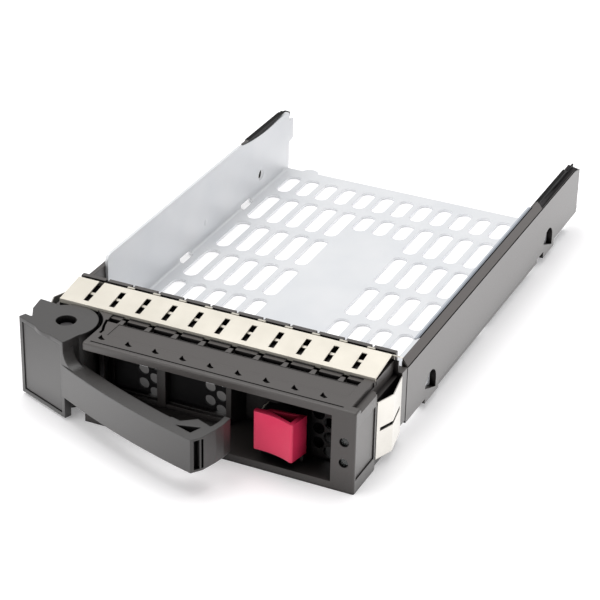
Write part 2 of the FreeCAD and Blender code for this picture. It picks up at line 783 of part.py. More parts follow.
def side_shield(front):
    x0 = bezel_half - shoulder_setback
    foot = side_shield_foot
    crest = front + side_shield_crest_set
    points = [(x0 - foot, front), (x0 + 0.9, front), (x0 + 0.9 + side_shield_bulge, crest),
              (x0 + 1.4, side_shield_rear_y)]
    outline = ribbon(points[::-1], strip_sheet)
    sheet = plan(outline, side_shield_bottom_z, side_shield_top_z)
    slot = box(x0 + 0.2, 99, front + 1.2, side_shield_rear_y - 1.6, side_shield_slot_z,
               side_shield_slot_z + side_shield_slot_width)
    return sheet.cut(slot)


# Outer side of a rail with its raised foot at the front and the two screw openings
def rail_body(x0, edge_x, edge_z, peak_z, rear_y):
    section = [(x0, rail_bottom_z), (edge_x, rail_bottom_z), (edge_x, edge_z), (x0 + 0.5, peak_z),
               (x0, peak_z)]
    rail = front_profile(section, rail_front_y, rear_y)
    foot = box(x0, edge_x, rail_front_y, rail_foot_end_y, rail_foot_z, rail_bottom_z + 1)
    return fuse_all([rail, foot, rail_crest(x0), scoop_fill(x0)]).cut(rail_tabs(rail_tab_play))


# Raised edge of a rail that stands over the scoop in the tray's wall and falls away to the rear
def rail_crest(x0):
    top = tray_wall_top_z - rail_crest_drop
    foot = top - rail_crest_height
    y0, y1 = rail_crest_start_y, rail_crest_rear_y
    return side_profile([(y0, foot), (y0, foot + 0.5), (y0 + rail_crest_ramp, top), (rail_crest_end_y, top),
                         (rail_crest_fall_y, top - 0.33 * rail_crest_height),
                         (y1, top - 0.66 * rail_crest_height),
                         (y1, foot)], x0, x0 + rail_crest_thickness)


# Part of the raised edge that reaches over the tray's wall and fills the scoop in it
def scoop_fill(x0):
    top = tray_wall_top_z - rail_crest_drop
    low = tray_wall_top_z - scoop_depth + scoop_fill_play
    inset = scoop_ramp * (top - low) / scoop_depth
    y0, y1 = scoop_start_y + scoop_ramp + scoop_fill_play, scoop_end_y - scoop_ramp - scoop_fill_play
    return side_profile([(y0 - inset, top), (y0, low), (y1, low), (y1 + inset, top)],
                        bay_half + scoop_fill_play, x0 + 0.1)


# Arched openings through which the drive's screws are reached, each closed by a sloping sill
def access_arches(x0, x1):
    r = access_arch_radius
    cuts = []
    for y in (front_screw_y, rear_screw_y):
        y -= arch_shift
        sill = side_profile([(y - r - 1, screw_z + 0.6), (y + r, rail_bottom_z - 0.8),
                             (y + r, screw_z + r + 1),
                             (y - r - 1, screw_z + r + 1)], x0 - 1, x1 + 1)
        arch = rod_x(x0 - 1, x1 + 1, y, screw_z,
                     r).fuse(box(x0 - 1, x1 + 1, y, y + r, rail_bottom_z - 1, screw_z))
        cuts.append(arch.common(sill))
    return cuts


# Tabs lanced out of the tray's wall, which stand in slots on the inner side of a rail
def rail_tabs(extra=0.0):
    z0 = rail_bottom_z + rail_tab_rise
    tabs = []
    for start in bend_window_starts:
        y0 = start + (bend_window_length - rail_tab_length) / 2
        tabs.append(box(wall_outer_x - 0.1, wall_outer_x + rail_tab_reach + extra, y0 - extra,
                        y0 + rail_tab_length + extra, z0 - extra, z0 + rail_tab_height + extra))
    return tabs


def right_rail():
    x0, x1, rear = wall_outer_x, right_rail_x, rail_rear_y
    r = access_arch_radius
    lips = [box(x0, x1, y - r - 1, y + r + 1, rail_bottom_z - access_lip_drop, rail_bottom_z + 0.5)
            for y in (front_screw_y, rear_screw_y)]
    wrap = box(bay_half - rail_wrap_inset, x1, wall_rear_y + wall_tab_reach + 0.1, rear, rail_bottom_z,
               right_rail_edge_z)
    teeth = [box(x1 - 1, x1 - 0.1, rear - 0.1, rear + rail_tooth, z - rail_tooth, z + rail_tooth)
             for z in rail_tooth_heights]
    rail = fuse_all([rail_body(x0, x1, right_rail_edge_z, right_rail_peak_z, rear), wrap] + lips + teeth)
    slope = side_profile([(rail_crest_end_y, right_rail_peak_z + 1), (rail_crest_end_y, right_rail_peak_z),
                          (rear, right_rail_peak_z - rail_rear_drop),
                          (rear + 9, right_rail_peak_z - rail_rear_drop),
                          (rear + 9, right_rail_peak_z + 1)], bay_half - 9, x1 + 1)
    crest_x = x0 + rail_crest_thickness
    channel_z = right_rail_edge_z - rail_channel_depth
    cuts = [slope.cut(box(0, crest_x, 0, rail_crest_rear_y, 0, 99))]
    cuts.append(box(crest_x, x1 - rail_channel_lip, rail_channel_start_y, rear - rail_channel_lip,
                    channel_z, 99))
    cuts.append(box(bay_half, crest_x + 0.1, wall_rear_y + wall_tab_reach + rail_channel_lip,
                    rear - rail_channel_lip, channel_z, 99))
    cuts += access_arches(x0, x1)
    return rail.cut(cuts + [pipe_bar(i, pipe_play) for i in range(len(pipe_heights))])


def left_rail():
    x0, x1 = wall_outer_x, left_rail_x
    rail = rail_body(x0, x1, left_rail_top_z, left_rail_top_z, wall_rear_y - 0.2)
    holes = [rod_x(x0 - 1, x1 + 1, y, screw_z, left_access_radius) for y in (front_screw_y, rear_screw_y)]
    return mirror_x(rail.cut(holes))


# Clear bar: from the lens it steps out to the rail, rises over the screw openings and falls to the rear
def pipe_bar(index, play):
    z_front, z_rail, z_rear = pipe_heights[index], pipe_rail_heights[index], pipe_rear_heights[index]
    half = pipe_height / 2 + play
    x_rail = wall_outer_x + pipe_play + pipe_width + play
    x_lens = pipe_lens_x + pipe_width / 2 + play
    rear = rail_rear_y + pipe_nub + 2 * play
    overlap = pipe_bend_end_y + 1
    across = [(x_lens, wing_depth + 0.1 - 2 * play), (x_lens, pipe_bend_start_y), (x_rail, pipe_bend_end_y),
              (x_rail, overlap)]
    front_bar = plan(ribbon(across, -pipe_width - 2 * play), z_front - half, z_front + half)
    along = [(pipe_bend_end_y, z_front + half), (overlap, z_front + half), (pipe_rise_end_y, z_rail + half),
             (pipe_fall_start_y, z_rail + half), (pipe_fall_end_y, z_rear + half), (rear, z_rear + half)]
    rail_bar = side_profile(ribbon(along, 2 * half), x_rail - pipe_width - 2 * play, x_rail)
    return front_bar.fuse(rail_bar)


def light_pipe(index):
    lens = rod_y(lens_setback, wing_depth + 0.8, pipe_lens_x, pipe_heights[index], pipe_lens_radius - 0.1)
    return fuse_all([pipe_bar(index, 0), lens])


def to_lever(shape):
    shape.rotate(Vector(0, 0, 0), Vector(0, 0, 1), -lever_open_deg)
    shape.translate(Vector(pivot_x, pivot_y, 0))
    return shape


def arc_through(a, b, c):
    return Part.Arc(*[Vector(x, y, 0) for x, y in (a, b, c)]).toShape()


def segment(a, b):
    return Part.LineSegment(Vector(a[0], a[1], 0), Vector(b[0], b[1], 0)).toShape()


# Grip band between its bowed outer face and an inner face the given depth behind it
def grip_band(depth, start, end, z0, z1):
    face, bow = lever_plate_face, grip_bow
    corner_y = lever_plate_face + 1.4
    middle = (start + end) / 2
    outer = ((start, face), (middle, face - bow), (end, corner_y))
    inner = ((end, corner_y + depth), (middle, face - bow + depth), (start, face + depth))
    edges = [arc_through(*outer), segment(outer[2], inner[0]), arc_through(*inner),
             segment(inner[2], outer[0])]
    band = Part.Face(Part.Wire(edges)).extrude(Vector(0, 0, z1 - z0))
    band.translate(Vector(0, 0, z0))
    return band


# Closed-pose shape of the lever about its pivot, before it is swung open
def eject_lever():
    left, right, face = lever_plate_left, lever_plate_right, lever_plate_face
    back = face + lever_plate_thickness
    top = bezel_height
    barrel = post(0, 0, barrel_bottom_z, top, barrel_radius)
    plate = box(left, right, face, back, lever_bottom_z, top)
    cap = plan([(left, face), (right, face), (barrel_radius * 0.95, -0.25 * barrel_radius),
                (0, barrel_radius * 0.5),
                (-barrel_radius * 0.9, 0), (left + 2.7, face + 2.6), (left, back)],
                top - lever_cap_thickness, top)
    ear = plan([(-7.8, -6.2), (-12.0, -2.7), (-ear_reach + 0.5, 1.3), (-ear_reach, 2.3),
                (-12.0, 3.2), (-8.1, 4.2),
                (-3.0, 4.0), (-3.0, -5.0)], ear_bottom_z, top)
    web = plan([(left + 1.0, back - 0.2), (right, back - 0.2), (right - 0.3, -2.5), (0, 0), (-6.0, -4.0)],
               barrel_bottom_z, top)
    depth, end = grip_depth, tip_corner
    grip = grip_band(depth, right - 1.0, end, grip_bottom_z, grip_top_z)
    hollow = grip_band(depth, right + 5.0, end - 10.0, grip_bottom_z + grip_skin, grip_top_z - grip_skin)
    hollow.translate(Vector(0, grip_skin, 0))
    neck = front_profile([(right - 0.5, grip_top_z - 0.5), (right - 0.5, grip_top_z + lever_fillet),
                          (right, grip_top_z + lever_fillet), (right + lever_fillet, grip_top_z),
                          (right + lever_fillet, grip_top_z - 0.5)], face, face + depth - 1.2)
    neck = neck.cut(rod_y(face - 1, face + depth + 1, right + lever_fillet, grip_top_z + lever_fillet,
                          lever_fillet))
    tip = lever_tip()
    body = fuse_all([barrel, plate, cap, ear, web, grip.cut(hollow), neck, tip])
    panel = box(left + frame_width, right - frame_width, face - 1, face + panel_recess,
                lever_bottom_z + frame_width, top - frame_width)
    well = post(0, 0, barrel_bottom_z - 1, barrel_bottom_z + spring_well_height, spring_well_radius)
    well = well.cut(post(0, 0, 0, top, hub_radius))
    cuts = [panel, post(0, 0, -1, top + 1, pivot_bore_radius), well]
    cuts += tip_cuts()
    return to_lever(body.cut(cuts))


# Block and return wall at the end of the grip
def lever_tip():
    end, r = tip_corner, tip_radius
    face = lever_plate_face + 1.4
    block = plan([(end - 12.3, face - 0.9), (end, face), (r - 0.1, face + 3.5), (r - 0.5, face + 8.6),
                  (end - 6.7, face + 8.6), (end - 9.2, face + 4.4), (end - 12.3, face + 4.0)],
                 grip_bottom_z, grip_top_z)
    t = tip_wall_thickness
    wall = plan([(r - 0.5, face + 8.6), (r - 1.1, face + 12.0), (r - 2.2, face + 15.3),
                 (r - 2.2 - t, face + 14.9),
                 (r - 1.1 - t, face + 11.6), (r - 0.7 - t, face + 8.0)], grip_bottom_z, grip_top_z)
    return block.fuse(wall)


def tip_cuts():
    end, face = tip_corner, lever_plate_face + 1.4
    z0, z1 = grip_bottom_z + 0.7, grip_top_z - 0.7
    groove_start = face + 1.0
    slit_start = groove_start + tip_groove_width + tip_ridge_width
    x0 = end - tip_groove_depth + 1.0
    pocket = plan([(end - 8.6, face + 2.1), (end - 2.9, face + 2.5), (end - 2.9, face + 6.3)],
                  grip_top_z - 7.0, grip_top_z + 1)
    return [box(x0, end + 3, groove_start, groove_start + tip_groove_width, z0, z1),
            box(x0 + 0.5, end + 3, slit_start, slit_start + tip_slit_width, z0, z1), pocket]


# Headed pin on which the lever turns, pressed up through the tongue
def lever_pin():
    radius = pivot_bore_radius - pivot_play
    top = bezel_height - pin_head_drop
    pin = post(pivot_x, pivot_y, 0.2, top, radius)
    crown = Part.makeCone(radius, radius - pin_crown, pin_crown, Vector(pivot_x, pivot_y, top),
                          Vector(0, 0, 1))
    return fuse_all([pin, crown])


# Helical spring of light facets: a hexagonal wire along straight chords of the helix
def coil(radius, pitch, turns, wire):
    steps = turns * coil_chords
    turn = 2 * math.pi / coil_chords
    path = [Vector(radius * math.cos(turn * i), radius * math.sin(turn * i), pitch * i / coil_chords)
            for i in range(steps + 1)]
    sixth = math.pi / 3
    section = [Vector(radius + wire / 2 * math.cos(sixth * i), 0, wire / 2 * math.sin(sixth * i))
               for i in range(7)]
    spine = Part.makePolygon(path)
    return spine.makePipeShell([Part.makePolygon(section)], True, False, 1)


# Thrust washer between the tongue and the lever's hub
def lever_washer():
    z1 = barrel_bottom_z - washer_play
    washer = post(pivot_x, pivot_y, tongue_top_z, z1, hub_radius)
    return washer.cut(post(pivot_x, pivot_y, 0, z1 + 1, pivot_bore_radius))


# Torsion coil in the well round the hub, with a tail up into the lever
def lever_spring():
    turns = coil(lever_spring_radius, lever_spring_pitch, lever_spring_turns, spring_wire)
    tail_z = lever_spring_pitch * lever_spring_turns
    ceiling = barrel_bottom_z + spring_well_height - tongue_top_z - spring_wire / 2 - 0.05
    tail = post(lever_spring_radius, 0, tail_z, ceiling, spring_wire / 2)
    spring = fuse_all([turns, tail])
    spring.translate(Vector(0, 0, tongue_top_z + spring_wire / 2 + 0.05))
    return to_lever(spring)


# Blank insert in the recess of the lever's front plate
def label_panel():
    inset = frame_width + panel_play
    face = lever_plate_face
    panel = box(lever_plate_left + inset, lever_plate_right - inset, face + panel_recess - panel_thickness,
                face + panel_recess, lever_bottom_z + inset, bezel_height - inset)
    return to_lever(panel)


# Finger button: a scooped face that rises to a nose, a hollow top and a cut-back rear corner
def release_button():
    left, right = button_left_x, button_right_x
    nose = right - button_nose_inset
    back = button_depth_y
    z0, z1 = button_bottom_z, button_top_z
    scoop = arc_through((left, button_left_y), (left + 0.55 * (nose - left), button_scoop_y - 0.75),
                        (nose, button_nose_y))
    edges = [scoop, segment((nose, button_nose_y), (right, back)), segment((right, back), (left, back)),
             segment((left, back), (left, button_left_y))]
    cap = Part.Face(Part.Wire(edges)).extrude(Vector(0, 0, z1 - z0))
    cap.translate(Vector(0, 0, z0))
    nose_edges = [edge for edge in cap.Edges
                  if edge.BoundBox.YMax < back - 0.1 and abs(edge.CenterOfMass.z - (z0 + z1) / 2) < 0.1]
    cap = cap.makeFillet(button_round, nose_edges)
    hollow = plan([(left + 4.0, button_left_y + 2.2), (nose - 1.0, button_nose_y + 1.6),
                   (right - 1.8, back - 1.0)],
                  z1 - button_hollow_depth, z1 + 1)
    corner = plan([(left - 1, 1.3), (left + 3.1, 1.9), (left + 3.8, 2.9), (right - 1.4, 3.9), (right, back),
                   (right, back + 1), (left - 1, back + 1)], z1 - button_hollow_depth, z1 + 1)
    return cap.cut([hollow, corner])


# Carrier behind the button, guided on a pin against its return spring
def latch_slider():
    x0, x1 = slider_left_x, slider_left_x + slider_width
    z0 = bezel_floor + slider_foot_play
    body = box(x0, x1, slider_front_y, slider_rear_y, z0, slider_top_z)
    room = button_spring_radius + button_spring_wire + 0.1
    pocket = box(x0 + slider_wall, x1 + 1, slider_centre_y - room, slider_rear_y + 1, guide_pin_z - room,
                 guide_pin_z + room)
    bore = rod_x(x0 - 1, x1 + 1, slider_centre_y, guide_pin_z, guide_pin_radius + guide_pin_play)
    return body.cut([pocket, bore])


# Sprung steel catch on the end of the carrier, its nose just outside the path of the lever's tip
def catch_plate():
    x1 = slider_left_x
    x0 = x1 - catch_thickness
    y0, y1 = slider_front_y, slider_rear_y
    middle = (y0 + y1) / 2
    half = catch_nose_length / 2
    return plan([(x1, y0), (x0, y0), (x0, middle - half), (x1 - catch_reach, middle - half / 3),
                 (x1 - catch_reach, middle + half / 3), (x0, middle + half), (x0, y1), (x1, y1)],
                catch_bottom_z, slider_top_z)


def guide_pin():
    return rod_x(slider_left_x + 0.3, pin_post_x + pin_post_thickness, slider_centre_y, guide_pin_z,
                 guide_pin_radius)


def button_spring():
    start = slider_left_x + slider_wall
    wire, turns = button_spring_wire, button_spring_turns
    spring = coil(button_spring_radius, (pin_post_x - start - wire - 0.1) / turns, turns, wire)
    spring.rotate(Vector(0, 0, 0), Vector(0, 1, 0), 90)
    spring.translate(Vector(start + wire / 2 + 0.05, slider_centre_y, guide_pin_z))
    return spring


# Staggered round holes of a grille between two heights and two places along the front
def grille_holes(x0, x1, z0, z1, y, pitch_x):
    r = grille_hole_radius
    holes = []
    raised = True
    x = x0 + grille_margin_x + r
    while x + r + grille_margin_x <= x1:
        z = z0 + grille_margin_z + r + (grille_hole_pitch_z / 2 if raised else 0)
        while z + r + grille_margin_z / 2 <= z1:
            holes.append(rod_y(y - 1, y + grille_thickness + 1, x, z, r))
            z += grille_hole_pitch_z
        x += pitch_x
        raised = not raised
    return holes


def side_grille():
    z0, z1 = bezel_floor, cavity_top_z
    left = grille_left_x - grille_behind
    plate = box(left, opening_right_x, grille_y, grille_y + grille_thickness, z0, z1)
    return plate.cut(grille_holes(left, opening_right_x, z0, z1, grille_y, side_grille_pitch_x))


def rear_grille():
    y = cavity_depth_left + back_wall_thickness
    left, right = vent_left_x - 0.8, vent_right_x + 0.5
    z0, z1 = bezel_floor, cavity_top_z
    plate = box(left, right, y, y + grille_thickness, z0, z1)
    holes = []
    for end in (vent_rib_x - vent_rib_width / 2, vent_right_x):
        holes += grille_holes(end - rear_grille_field, end, z0, z1, y, rear_grille_pitch_x)
    return plate.cut(holes)


nodes = {
    "tray_pan": tray_pan,
    "front_bezel": front_bezel,
    "shield_strip": shield_strip,
    "right_side_shield": lambda: side_shield(side_shield_front_y),
    "left_side_shield": lambda: mirror_x(side_shield(left_shield_front_y)),
    "right_rail": right_rail,
    "left_rail": left_rail,
    "bezel_screws": bezel_screws,
    "upper_light_pipe": lambda: light_pipe(1),
    "lower_light_pipe": lambda: light_pipe(0),
    "side_grille": side_grille,
    "rear_grille": rear_grille,
    "lever_pin": lever_pin,
    "lever_washer": lever_washer,
    "lever_spring": lever_spring,
    "eject_lever": eject_lever,
    "label_panel": label_panel,
    "release_button": release_button,
    "latch_slider": latch_slider,
    "catch_plate": catch_plate,
    "guide_pin": guide_pin,
    "button_spring": button_spring,
}

os.makedirs("parts", exist_ok=True)
for name, make in nodes.items():
    shape = make()
    shape.translate(Vector(0, -datum_y, 0))
    shape.exportStep(f"parts/{name}.step")
    kind = "valid" if shape.isValid() else "NOT VALID"
    print(f"{name:20s} {len(shape.Solids)} solids {shape.Volume:9.1f} mm3 {kind}")
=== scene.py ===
import math

import bpy
from mathutils import Matrix, Vector


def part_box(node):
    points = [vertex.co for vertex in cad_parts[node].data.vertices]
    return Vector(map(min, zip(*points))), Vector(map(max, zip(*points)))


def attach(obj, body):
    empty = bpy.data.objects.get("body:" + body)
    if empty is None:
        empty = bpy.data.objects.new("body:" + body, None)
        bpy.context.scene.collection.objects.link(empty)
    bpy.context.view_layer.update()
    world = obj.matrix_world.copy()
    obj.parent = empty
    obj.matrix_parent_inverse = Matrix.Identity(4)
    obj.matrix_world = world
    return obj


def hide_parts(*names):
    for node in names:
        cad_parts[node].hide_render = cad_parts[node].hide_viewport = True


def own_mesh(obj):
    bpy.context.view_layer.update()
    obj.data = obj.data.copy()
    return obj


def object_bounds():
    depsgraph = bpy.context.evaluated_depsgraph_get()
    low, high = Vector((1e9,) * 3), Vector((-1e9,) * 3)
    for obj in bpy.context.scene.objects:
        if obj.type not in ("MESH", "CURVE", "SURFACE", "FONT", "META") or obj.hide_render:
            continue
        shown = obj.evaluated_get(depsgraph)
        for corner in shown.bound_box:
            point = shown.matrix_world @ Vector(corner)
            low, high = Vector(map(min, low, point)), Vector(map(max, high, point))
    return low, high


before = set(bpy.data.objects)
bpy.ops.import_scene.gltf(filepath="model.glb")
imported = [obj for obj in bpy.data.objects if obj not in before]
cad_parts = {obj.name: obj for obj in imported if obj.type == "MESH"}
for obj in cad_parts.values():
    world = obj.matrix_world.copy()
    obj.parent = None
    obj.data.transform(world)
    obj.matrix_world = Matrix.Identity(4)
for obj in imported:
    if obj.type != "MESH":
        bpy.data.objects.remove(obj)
scene = bpy.context.scene
scene.view_settings.view_transform = "Standard"
boundsBefore = [list(corner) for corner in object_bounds()]
print("frame loaded:", len(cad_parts), "nodes")

mm = 0.001


# Linear colour of an sRGB hex code
def linear(code):
    channels = [int(code[i:i + 2], 16) / 255 for i in (1, 3, 5)]
    spread = [c / 12.92 if c <= 0.04045 else ((c + 0.055) / 1.055) ** 2.4 for c in channels]
    return (*spread, 1.0)


# Adds one shader node, with its settings, and its sockets set to values or linked to other nodes
def addNode(tree, kind, sockets=None, **settings):
    node = tree.nodes.new("ShaderNode" + kind)
    for name, value in settings.items():
        setattr(node, name, value)
    for name, value in (sockets or {}).items():
        if isinstance(value, bpy.types.NodeSocket):
            tree.links.new(value, node.inputs[name])
        else:
            node.inputs[name].default_value = value
    return node


# The result of one calculation on two values or sockets
def compute(tree, operation, first, second):
    return addNode(tree, "Math", {0: first, 1: second}, operation=operation).outputs[0]


def newMaterial(name):
    material = bpy.data.materials.new(name)
    material.use_nodes = True
    material.node_tree.nodes.clear()
    return material, material.node_tree


# The part of the noise's range that nearly all its values fall in, its octaves, the rays that feel for
# hollows and rounded edges, and the depth of the roll marks in metal
noiseSpread = (0.3, 0.7)
fineDetail = 3.0
coarseDetail = 2.0
hollowRays = 8
edgeRays = 4
rollMarkMm = 0.05


# Noise in object space, with its grain given in millimetres along each axis
def grainNoise(tree, place, grainMm, detail, low, high):
    scale = [1 / (size * mm) for size in grainMm]
    mapping = addNode(tree, "Mapping", {"Vector": place.outputs["Object"], "Scale": scale})
    noise = addNode(tree, "TexNoise", {"Vector": mapping.outputs[0], "Scale": 1.0, "Detail": detail})
    fitted = addNode(tree, "MapRange", {"Value": noise.outputs[0], "From Min": noiseSpread[0],
                                        "From Max": noiseSpread[1], "To Min": low, "To Max": high})
    return noise, fitted


# How open a spot lies within a reach in millimetres: nought in a hollow, one on a free face; the mask for
# painted shade
def openShare(tree, reachMm, low, high, ownOnly):
    hollow = addNode(tree, "AmbientOcclusion", {"Distance": reachMm * mm}, samples=hollowRays,
                     only_local=ownOnly)
    share = addNode(tree, "MapRange", {"Value": hollow.outputs["AO"], "From Min": low, "From Max": high})
    return share.outputs[0]


# Metal sheet or wire: rolling grain lengthwise changes the gloss a little, as mill rolls leave it; painted
# shade darkens creases
def metalMaterial(look):
    material, tree = newMaterial(look["name"])
    place = addNode(tree, "TexCoord")
    noise, gloss = grainNoise(tree, place, look["grainMm"], fineDetail,
                              look["roughness"] - look["glossPlay"],
                              look["roughness"] + look["glossPlay"])
    tone = grainNoise(tree, place, (look["cloudMm"],) * 3, coarseDetail, 0.0, 1.0)[1]
    colour = addNode(tree, "Mix", {"Factor": tone.outputs[0], "A": linear(look["colour"]),
                                   "B": linear(look["colourHigh"])}, data_type="RGBA")
    # Painted shade: the colour goes to the crease shade colour where the spot is not open
    openness = openShare(tree, look["creaseMm"], look["creaseFloor"], look["creaseRim"], False)
    shaded = addNode(tree, "Mix", {"Factor": openness, "A": linear(look["creaseShadeColour"]),
                                   "B": colour.outputs["Result"]}, data_type="RGBA")
    edge = addNode(tree, "Bevel", {"Radius": look["edgeMm"] * mm}, samples=edgeRays)
    bump = addNode(tree, "Bump", {"Height": noise.outputs[0], "Strength": look["bump"],
                                  "Distance": rollMarkMm * mm, "Normal": edge.outputs[0]})
    surface = addNode(tree, "BsdfPrincipled", {
        "Base Color": shaded.outputs["Result"], "Metallic": look["metallic"], "Roughness": gloss.outputs[0],
        "Normal": bump.outputs[0]})
    addNode(tree, "OutputMaterial", {"Surface": surface.outputs[0]})
    return material


# Nought inside a box of sizes in millimetres, at either side of the middle, and one outside it
def outsideBox(tree, place, spansMm):
    axes = addNode(tree, "SeparateXYZ", {"Vector": place.outputs["Object"]})
    inside = 1.0
    for axis, (low, high) in spansMm.items():
        size = axes.outputs[axis]
        if axis == "X":
            size = addNode(tree, "Math", {0: size}, operation="ABSOLUTE").outputs[0]
        centre, reach = (low + high) / 2 * mm, (high - low) / 2 * mm
        within = addNode(tree, "Math", {0: size, 1: centre, 2: reach}, operation="COMPARE")
        inside = compute(tree, "MULTIPLY", within.outputs[0], inside)
    return compute(tree, "SUBTRACT", 1.0, inside)


# What all the mouldings share: how far the gloss wanders, when a crease counts as one for the painted
# shade, the little sheen left in a hollow under painted shade, and the depth of the mould's texture as a
# part of its grain
mould = {"glossPlay": 0.05, "creaseFloor": 0.3, "creaseRim": 0.75, "hollowShadeSheen": 0.06, "textureDepth": 0.2}


# Moulded plastic: spark-eroded mould texture breaks up the highlight, edges are rounded as moulds are, and
# painted shade darkens colour and sheen in deep recesses and creases, where ambient occlusion finds them
def plasticMaterial(look):
    material, tree = newMaterial(look["name"])
    place = addNode(tree, "TexCoord")
    noise, gloss = grainNoise(tree, place, (look["grainMm"],) * 3, coarseDetail,
                              look["roughness"] - mould["glossPlay"],
                              look["roughness"] + mould["glossPlay"])
    recess = openShare(tree, look["recessMm"], look["recessFloor"], look["recessRim"], look["recessOwn"])
    crease = openShare(tree, look["creaseMm"], mould["creaseFloor"], mould["creaseRim"], False)
    openness = compute(tree, "MULTIPLY", recess, crease)
    # Painted shade inside the look's box: colour and sheen there are those of a deep hollow
    if "shadeBoxMm" in look:
        openness = compute(tree, "MULTIPLY", openness, outsideBox(tree, place, look["shadeBoxMm"]))
    # Painted shade: colour and sheen fade to the recess shade colour and the hollow sheen where the spot is
    # not open
    colour = addNode(tree, "Mix", {"Factor": openness, "A": linear(look["recessShadeColour"]),
                                   "B": linear(look["colour"])}, data_type="RGBA")
    sheen = addNode(tree, "MapRange", {"Value": openness, "To Min": mould["hollowShadeSheen"],
                                       "To Max": look["sheen"]})
    edge = addNode(tree, "Bevel", {"Radius": look["edgeMm"] * mm}, samples=edgeRays)
    bump = addNode(tree, "Bump", {"Height": noise.outputs[0], "Strength": look["bump"],
                                  "Distance": look["grainMm"] * mould["textureDepth"] * mm,
                                  "Normal": edge.outputs[0]})
    surface = addNode(tree, "BsdfPrincipled", {
        "Base Color": colour.outputs["Result"], "Roughness": gloss.outputs[0], "IOR": look["ior"],
        "Specular IOR Level": sheen.outputs[0], "Normal": bump.outputs[0]})
    addNode(tree, "OutputMaterial", {"Surface": surface.outputs[0]})
    return material


# Clear acrylic: a light guide, glossy and see-through, dark where nothing shines down it
def clearMaterial(look):
    material, tree = newMaterial(look["name"])
    surface = addNode(tree, "BsdfPrincipled", {
        "Base Color": linear(look["colour"]), "Roughness": look["roughness"], "IOR": look["ior"],
        "Transmission Weight": look["transmission"]})
    addNode(tree, "OutputMaterial", {"Surface": surface.outputs[0]})
    return material


# Painted shade in the creases between sheets: a thin dark line where ambient occlusion finds a crease
metalCreaseShade = {"creaseMm": 3.0, "creaseFloor": 0.1, "creaseRim": 0.5, "creaseShadeColour": "#1c1c1d"}
# Zinc-plated steel of the tray: a satin, slightly blue skin that is pale even where nothing bright reflects
zincLook = {**metalCreaseShade, "name": "zincPlatedSheet", "colour": "#d3d5d8", "colourHigh": "#dadbdd",
            "metallic": 0.3, "roughness": 0.45, "glossPlay": 0.03, "grainMm": (0.35, 9.0, 0.35),
            "cloudMm": 18.0, "bump": 0.12, "edgeMm": 0.2, "creaseMm": 4.0}
# Painted shade: the zinc on the wall's folded hem, coloured darker where the bend turns away from the light
hemShadeLook = {**zincLook, "name": "zincHemPaintedShade", "colour": "#767b84", "colourHigh": "#7e838b",
           "edgeMm": 0.05, "creaseMm": 0.5}
# Painted shade as well, a step lighter: the zinc on the fold inside the hem
foldShadeLook = {**hemShadeLook, "name": "zincFoldPaintedShade", "colour": "#a8adb5", "colourHigh": "#b0b5bc"}
# Bright rolled stainless of the shields: sharper reflections, a little warm
stainlessLook = {**metalCreaseShade, "name": "rolledStainless", "colour": "#c2bdb2", "colourHigh": "#cac5ba",
                 "metallic": 0.6, "roughness": 0.42, "glossPlay": 0.03, "grainMm": (6.0, 0.25, 0.25),
                 "cloudMm": 9.0, "bump": 0.1, "edgeMm": 0.15}
# The same steel on the side springs, brushed dull by their rubbing in the slot
sideShieldLook = {**stainlessLook, "name": "brushedStainless", "colour": "#b8b5af", "colourHigh": "#c0bdb7",
                  "metallic": 0.7, "glossPlay": 0.04, "grainMm": (0.25, 6.0, 0.25), "bump": 0.12}
# Oiled turned steel of the pins: almost black, with a soft metal sheen
darkSteelLook = {**metalCreaseShade, "name": "oiledTurnedSteel", "colour": "#5a5859", "colourHigh": "#686667",
                 "metallic": 1.0, "roughness": 0.4, "glossPlay": 0.05, "grainMm": (0.5, 0.5, 0.2),
                 "cloudMm": 3.0, "bump": 0.2, "edgeMm": 0.15}
# Glass-filled black moulding of the bezel and rails: warm black, satin where it faces the light, with
# painted shade in its recesses
blackLook = {"name": "blackMouldedPlastic", "colour": "#413d3b", "roughness": 0.4, "ior": 1.53,
             "grainMm": 0.16, "bump": 0.3, "edgeMm": 0.3, "creaseMm": 2.0, "recessMm": 22.0,
             "recessOwn": False, "recessFloor": 0.24, "recessRim": 0.68, "recessShadeColour": "#090809",
             "sheen": 0.5}
# The rails' plastic: the same moulding, painted shade making it matt black inside a box at the scoops at
# the rear
railLook = {**blackLook, "name": "blackRailPlastic",
            "shadeBoxMm": {"Z": (20.3, 25.0), "Y": (41.0, 90.0), "X": (50.0, 53.6)}}
# The rail's cap, coloured lighter than the moulding as painted light on its top band, and its rear end,
# darker as painted shade
litCapLook = {**blackLook, "name": "blackCapPaintedLight", "colour": "#55504e", "edgeMm": 0.04, "creaseMm": 0.2}
shadedRearCapLook = {**litCapLook, "name": "blackRearCapPaintedShade", "colour": "#1a1517", "sheen": 0.15}
# Painted shadow: near-black strips at the cap's edges stand for the shade in seams too narrow for light to
# enter
seamShadowLook = {**blackLook, "name": "blackSeamPaintedShadow", "colour": "#060607", "roughness": 0.8, "edgeMm": 0.02,
            "sheen": 0.06}
# Painted shade: the same plastic coloured near-black on the pieces that stand deep inside the bezel, where
# next to no light falls
deepShadeLook = {"name": "paintedShadeMouldedPlastic", "colour": "#0d0c0d", "roughness": 0.6, "ior": 1.5,
              "grainMm": 0.16, "bump": 0.2, "edgeMm": 0.2, "creaseMm": 1.0, "recessMm": 5.0,
              "recessOwn": True, "recessFloor": 0.3, "recessRim": 0.9, "recessShadeColour": "#070707",
              "sheen": 0.15}
